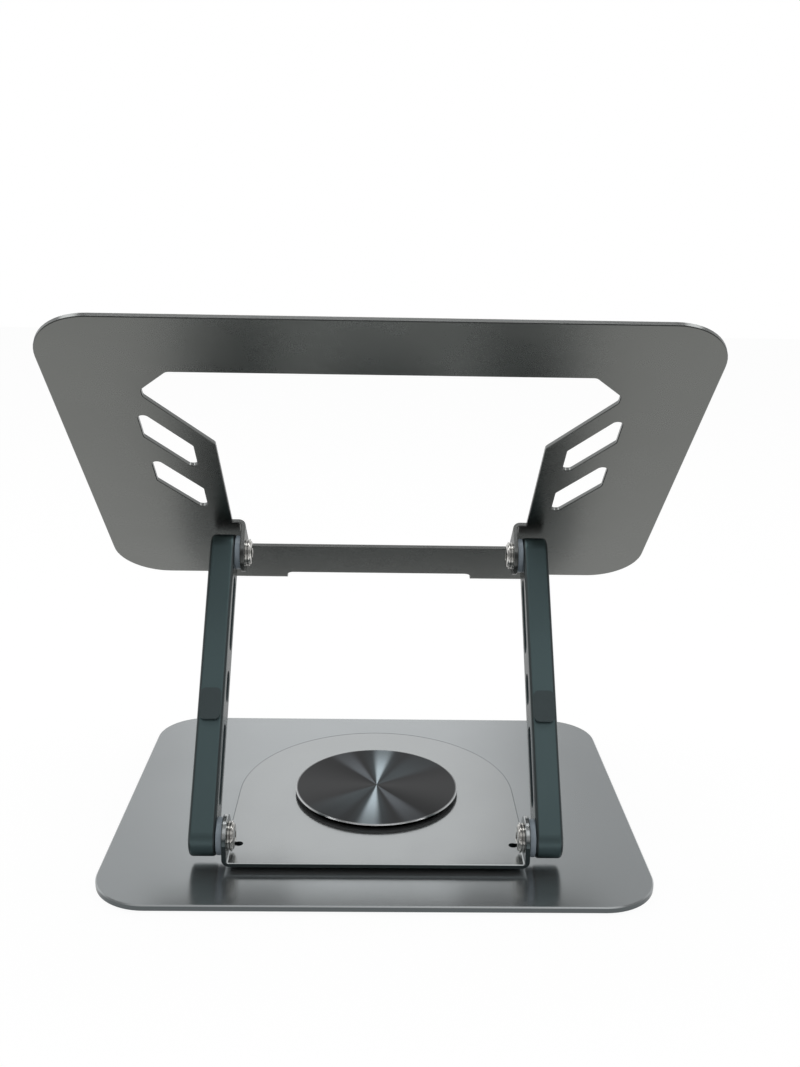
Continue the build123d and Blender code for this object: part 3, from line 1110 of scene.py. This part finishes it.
@dataclass
class MouldedPad:
    """A rounded rubber pad with soft edges and a slight crown, in a CAD node's place."""

    name: str
    node: str
    form: PadForm
    along: Vector
    normal: Vector
    corner_steps: int = 8
    edge_steps: int = 5
    crown_steps: int = 6
    least_corner: float = 0.02 * MM
    ridge: float = 0.05 * MM

    def outline(self, inset: float, rise: float) -> list[Vector]:
        """The pad's outline, drawn in by some distance.

        Args:
            inset: How far it is drawn in.
            rise: How far it lies over the pad's seat.

        Returns:
            The outline's points.
        """
        across = self.normal.cross(self.along)
        low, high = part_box(self.node)
        seat_middle = (low + high) / 2 - self.normal * (self.form.height / 2)
        half = (self.form.length / 2 - inset, self.form.width / 2 - inset)
        corner = min(max(self.form.corner - inset, self.least_corner), *half)
        points = []
        for quarter, (sx, sy) in enumerate(((1, 1), (-1, 1), (-1, -1), (1, -1))):
            for step in range(self.corner_steps + 1):
                turn = math.pi / 2 * (quarter + step / self.corner_steps)
                x = sx * (half[0] - corner) + corner * math.cos(turn)
                y = sy * (half[1] - corner) + corner * math.sin(turn)
                points.append(seat_middle + self.along * x + across * y + self.normal * rise)
        return points

    def build(self, finish: Material) -> Object:
        """Make the pad.

        Args:
            finish: Its material.

        Returns:
            The piece.
        """
        form = self.form
        shoulder = form.height - form.crown - form.edge
        rings = [self.outline(0, 0), self.outline(0, shoulder)]
        for step in range(1, self.edge_steps + 1):
            turn = math.pi / 2 * step / self.edge_steps
            rise = shoulder + form.edge * math.sin(turn)
            rings.append(self.outline(form.edge * (1 - math.cos(turn)), rise))
        last = min(form.length, form.width) / 2 - self.ridge
        for step in range(1, self.crown_steps + 1):
            share = step / self.crown_steps
            inset = form.edge + (last - form.edge) * share
            rings.append(self.outline(inset, form.height - form.crown * (1 - share) ** 2))
        return new_piece(self.name, skin_over(rings, self.name, sharp_angle=60), finish)


@dataclass
class PadSet:
    """Every rubber pad of the stand: arm bumpers, tray strips, lip pads and feet."""

    layout: Layout
    finishes: Finishes
    bumper: PadForm = PadForm(14.0 * MM, 9.2 * MM, 2.2 * MM, 2.4 * MM, 0.7 * MM, 0.25 * MM)
    side_strip: PadForm = PadForm(112.0 * MM, 14.0 * MM, 1.2 * MM, 3.0 * MM, 0.35 * MM, 0.1 * MM)
    rear_strip: float = 120.0 * MM
    front_strip: float = 78.0 * MM
    lip_pad: PadForm = PadForm(27.0 * MM, 7.5 * MM, 1.2 * MM, 2.5 * MM, 0.3 * MM, 0.1 * MM)
    foot: PadForm = PadForm(34.0 * MM, 12.0 * MM, 1.2 * MM, 4.0 * MM, 0.3 * MM, 0.05 * MM)

    def build(self) -> None:
        """Make every pad and seat it on its body."""
        words = [side.word for side in Side]
        right, down = Vector((1, 0, 0)), Vector((0, 0, -1))
        arm_along, arm_rear = self.layout.arm_along, self.layout.arm_rear
        up, along = self.layout.tray_normal, self.layout.tray_along
        for word in words:
            pad = MouldedPad(f"arm_bumper_{word}", f"arm_pad_{word}", self.bumper, arm_along, arm_rear)
            seat(pad.build(self.finishes.bumper), "arms", "arm_rubber", pad.node)
        runs = [(word, along, self.side_strip) for word in words]
        runs.append(("rear", right, replace(self.side_strip, length=self.rear_strip)))
        runs.append(("front", right, replace(self.side_strip, length=self.front_strip)))
        for word, run, form in runs:
            pad = MouldedPad(f"tray_silicone_{word}", f"tray_strip_{word}", form, run, up)
            seat(pad.build(self.finishes.silicone), "tray", "silicone", pad.node)
        for word in words:
            pad = MouldedPad(f"lip_silicone_{word}", f"lip_pad_{word}", self.lip_pad, right, along)
            seat(pad.build(self.finishes.silicone), "tray", "silicone", pad.node)
        for place in (f"{end}_{word}" for end in ("front", "rear") for word in words):
            pad = MouldedPad(f"silicone_foot_{place}", f"base_foot_{place}", self.foot, right, down)
            seat(pad.build(self.finishes.silicone), "base", "silicone", pad.node)


@dataclass
class PlateWork:
    """The sheet and cast metal that keeps its CAD shape and gets its finish."""

    nodes: dict[str, Object]
    finishes: Finishes

    def dress(self) -> None:
        """Give each carried-over node its material."""
        chosen = {
            "base_plate": self.finishes.base,
            "swivel_plate": self.finishes.swivel,
            "tray_plate": self.finishes.tray,
            "left_arm": self.finishes.arm,
            "right_arm": self.finishes.arm,
            "lower_glide_ring": self.finishes.glide,
            "upper_glide_ring": self.finishes.glide,
        }
        for node, material in chosen.items():
            for slot in self.nodes[node].material_slots:
                slot.material = material
            LOG.info("%s wears %s", node, material.name)


@dataclass(frozen=True)
class Softbox:
    """A soft rectangular lamp, in metres and watts."""

    name: str
    place: tuple[float, float, float]
    size: tuple[float, float]
    power: float

    def hang(self, target: Vector) -> None:
        """Hang the lamp so that it looks at a target.

        Args:
            target: Where it looks.
        """
        light = bpy.data.lights.new(self.name, "AREA")
        light.shape = "RECTANGLE"
        light.size, light.size_y = self.size
        light.energy = self.power
        lamp = bpy.data.objects.new(self.name, light)
        lamp.location = self.place
        aim = target - Vector(self.place)
        lamp.rotation_euler = aim.to_track_quat("-Z", "Y").to_euler()
        bpy.context.scene.collection.objects.link(lamp)


@dataclass
class Studio:
    """The floor, the light and the camera."""

    image: tuple[int, int] = (800, 1067)
    focal_px: float = 1122.27
    camera_place: tuple[float, float, float] = (1.15 * MM, 490.47 * MM, 260.5 * MM)
    pitch: float = 14.40
    yaw: float = 1.20
    roll: float = 0.99
    sensor: float = 36.0
    clip: tuple[float, float] = (0.01, 50.0)
    floor_size: float = 6.0
    floor_grey: float = 0.82
    floor_glow: float = 1.1
    floor_seen: float = 0.85
    floor_mirrored: float = 0.6
    near_loss: Fade = Fade(0.08, 0.2, 0.55)
    painted_shadow_depth: Fade = Fade(-0.05, -0.09)
    painted_shadow_width: Fade = Fade(0.12, 0.07)
    room_light: float = 0.22
    sweep_light: float = 0.78
    sweep_gain: float = 1.17
    sweep_depth: Fade = Fade(0.1, -0.4)
    sweep_rise: Fade = Fade(0.9, 0.35)
    left_loss: Fade = Fade(0.08, 0.21, 0.47)
    right_loss: Fade = Fade(-0.06, -0.17, 0.67)
    low_loss: Fade = Fade(0.47, 0.38, 0.16)
    high_gain: Fade = Fade(0.5, 0.56, 0.5)
    high_width: Fade = Fade(0.2, 0.12)
    canopy_light: float = 0.32
    canopy_least: float = 0.85
    canopy_depth: Fade = Fade(0.3, 0.5)
    canopy_rise: Fade = Fade(0.55, 0.72)
    canopy_side: Fade = Fade(0.2, -0.2, 0.7)
    lamp_target: tuple[float, float, float] = (0.0, 0.0, 0.08)
    lamps: tuple[Softbox, ...] = (
        Softbox("overhead", (0.0, -0.1, 1.3), (0.9, 0.5), 2.2),
        Softbox("left_lamp", (0.74, 0.0, 1.07), (0.4, 0.4), 1.0),
        Softbox("right_lamp", (-0.74, 0.0, 1.07), (0.4, 0.4), 1.0),
    )

    def camera(self) -> None:
        """Set the camera up as the photograph was taken."""
        pitch, yaw, roll = (math.radians(turn) for turn in (self.pitch, self.yaw, self.roll))
        forward = Vector(
            (-math.sin(yaw) * math.cos(pitch), -math.cos(yaw) * math.cos(pitch), -math.sin(pitch))
        )
        right = Vector((-math.cos(yaw), math.sin(yaw), 0))
        up = right.cross(forward)
        leaning_right = right * math.cos(roll) + up * math.sin(roll)
        leaning_up = up * math.cos(roll) - right * math.sin(roll)
        lens = bpy.data.cameras.new("photo_camera")
        lens.sensor_width = self.sensor
        lens.lens = self.focal_px / max(self.image) * self.sensor
        lens.clip_start, lens.clip_end = self.clip
        camera = bpy.data.objects.new("photo_camera", lens)
        turn = Matrix((leaning_right, leaning_up, -forward)).transposed()
        camera.matrix_world = Matrix.Translation(self.camera_place) @ turn.to_4x4()
        bpy.context.scene.collection.objects.link(camera)
        bpy.context.scene.camera = camera

    def floor(self) -> None:
        """Lay a pale floor that the camera sees as white, with the stand's shadow, and a painted shadow
        behind the base that only reflections see.
        """
        half = self.floor_size / 2
        mesh = bpy.data.meshes.new("floor")
        corners = [(-half, -half, 0), (half, -half, 0), (half, half, 0), (-half, half, 0)]
        mesh.from_pydata(corners, [], [(0, 1, 2, 3)])
        paper = empty_material("floor_paper")
        graph = Graph(paper.node_tree)
        grey = (self.floor_grey, self.floor_grey, self.floor_grey, 1.0)
        diffuse = graph.node("ShaderNodeBsdfDiffuse", {"Color": grey})
        glow = graph.node("ShaderNodeEmission", {"Color": WHITE, "Strength": self.floor_glow})
        seen = graph.node("ShaderNodeLightPath", output="Is Camera Ray")
        mirrored = Value(graph, seen.socket.node.outputs["Is Glossy Ray"])
        x, y, _ = graph.parts(graph.node("ShaderNodeTexCoord", output="Object"))
        # Painted shadow: reflected rays see the floor's glow dimmer in a patch behind the base; the glow
        # they see also grows weaker towards the camera side.
        painted_shadow = self.painted_shadow_depth.of(y) * self.painted_shadow_width.of(abs(x))
        in_metal = self.floor_mirrored * (1 - painted_shadow) - self.near_loss.of(y)
        share = seen * self.floor_seen + mirrored * in_metal
        mixed = graph.node("ShaderNodeMixShader", {0: share, 1: diffuse, 2: glow})
        graph.node("ShaderNodeOutputMaterial", {"Surface": mixed})
        new_piece("floor", mesh, paper)

    def world(self) -> None:
        """Surround the stand with a white sweep that grows dimmer on the camera's side."""
        world = bpy.data.worlds.new("studio")
        world.use_nodes = True
        bpy.context.scene.world = world
        graph = Graph(world.node_tree)
        seen = graph.node("ShaderNodeLightPath", output="Is Camera Ray")
        direction = graph.node("ShaderNodeTexCoord", output="Generated")
        across, depth, rise = graph.parts(direction)
        side = self.sweep_gain - self.left_loss.of(across) - self.right_loss.of(across)
        height = 1 - self.low_loss.of(rise) + self.high_gain.of(rise) * self.high_width.of(abs(across))
        sweep = self.sweep_depth.of(depth) * self.sweep_rise.of(rise) * side * height
        canopy = self.canopy_depth.of(depth) * self.canopy_rise.of(rise)
        canopy = canopy * (self.canopy_least + self.canopy_side.of(across))
        room = self.room_light + sweep * self.sweep_light + canopy * self.canopy_light
        strength = seen + (1 - seen) * room
        light = graph.node("ShaderNodeBackground", {"Color": WHITE, "Strength": strength})
        graph.node("ShaderNodeOutputWorld", {"Surface": light})

    def build(self) -> None:
        """Set the whole studio up."""
        view = bpy.context.scene.view_settings
        view.view_transform = "Standard"
        self.camera()
        self.floor()
        self.world()
        for lamp in self.lamps:
            lamp.hang(Vector(self.lamp_target))


def clear_startup() -> None:
    """Remove what Blender starts with."""
    for thing in list(bpy.data.objects):
        bpy.data.objects.remove(thing)


def main() -> None:
    """Build the stand's looks and its studio."""
    logging.basicConfig(level=logging.INFO, format="%(name)s: %(message)s")
    clear_startup()
    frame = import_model()
    layout = Layout.read(frame)
    cap_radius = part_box("turntable_cap")[1].x - Turntable.rim_chamfer
    finishes = Finishes.mixed(layout.tray_normal, layout.ear_outer, cap_radius)
    PlateWork(frame["nodes"], finishes).dress()
    Turntable(finishes).build()
    HingeHardware(layout, finishes).build()
    PadSet(layout, finishes).build()
    Studio().build()


if __name__ == "__main__":
    main()
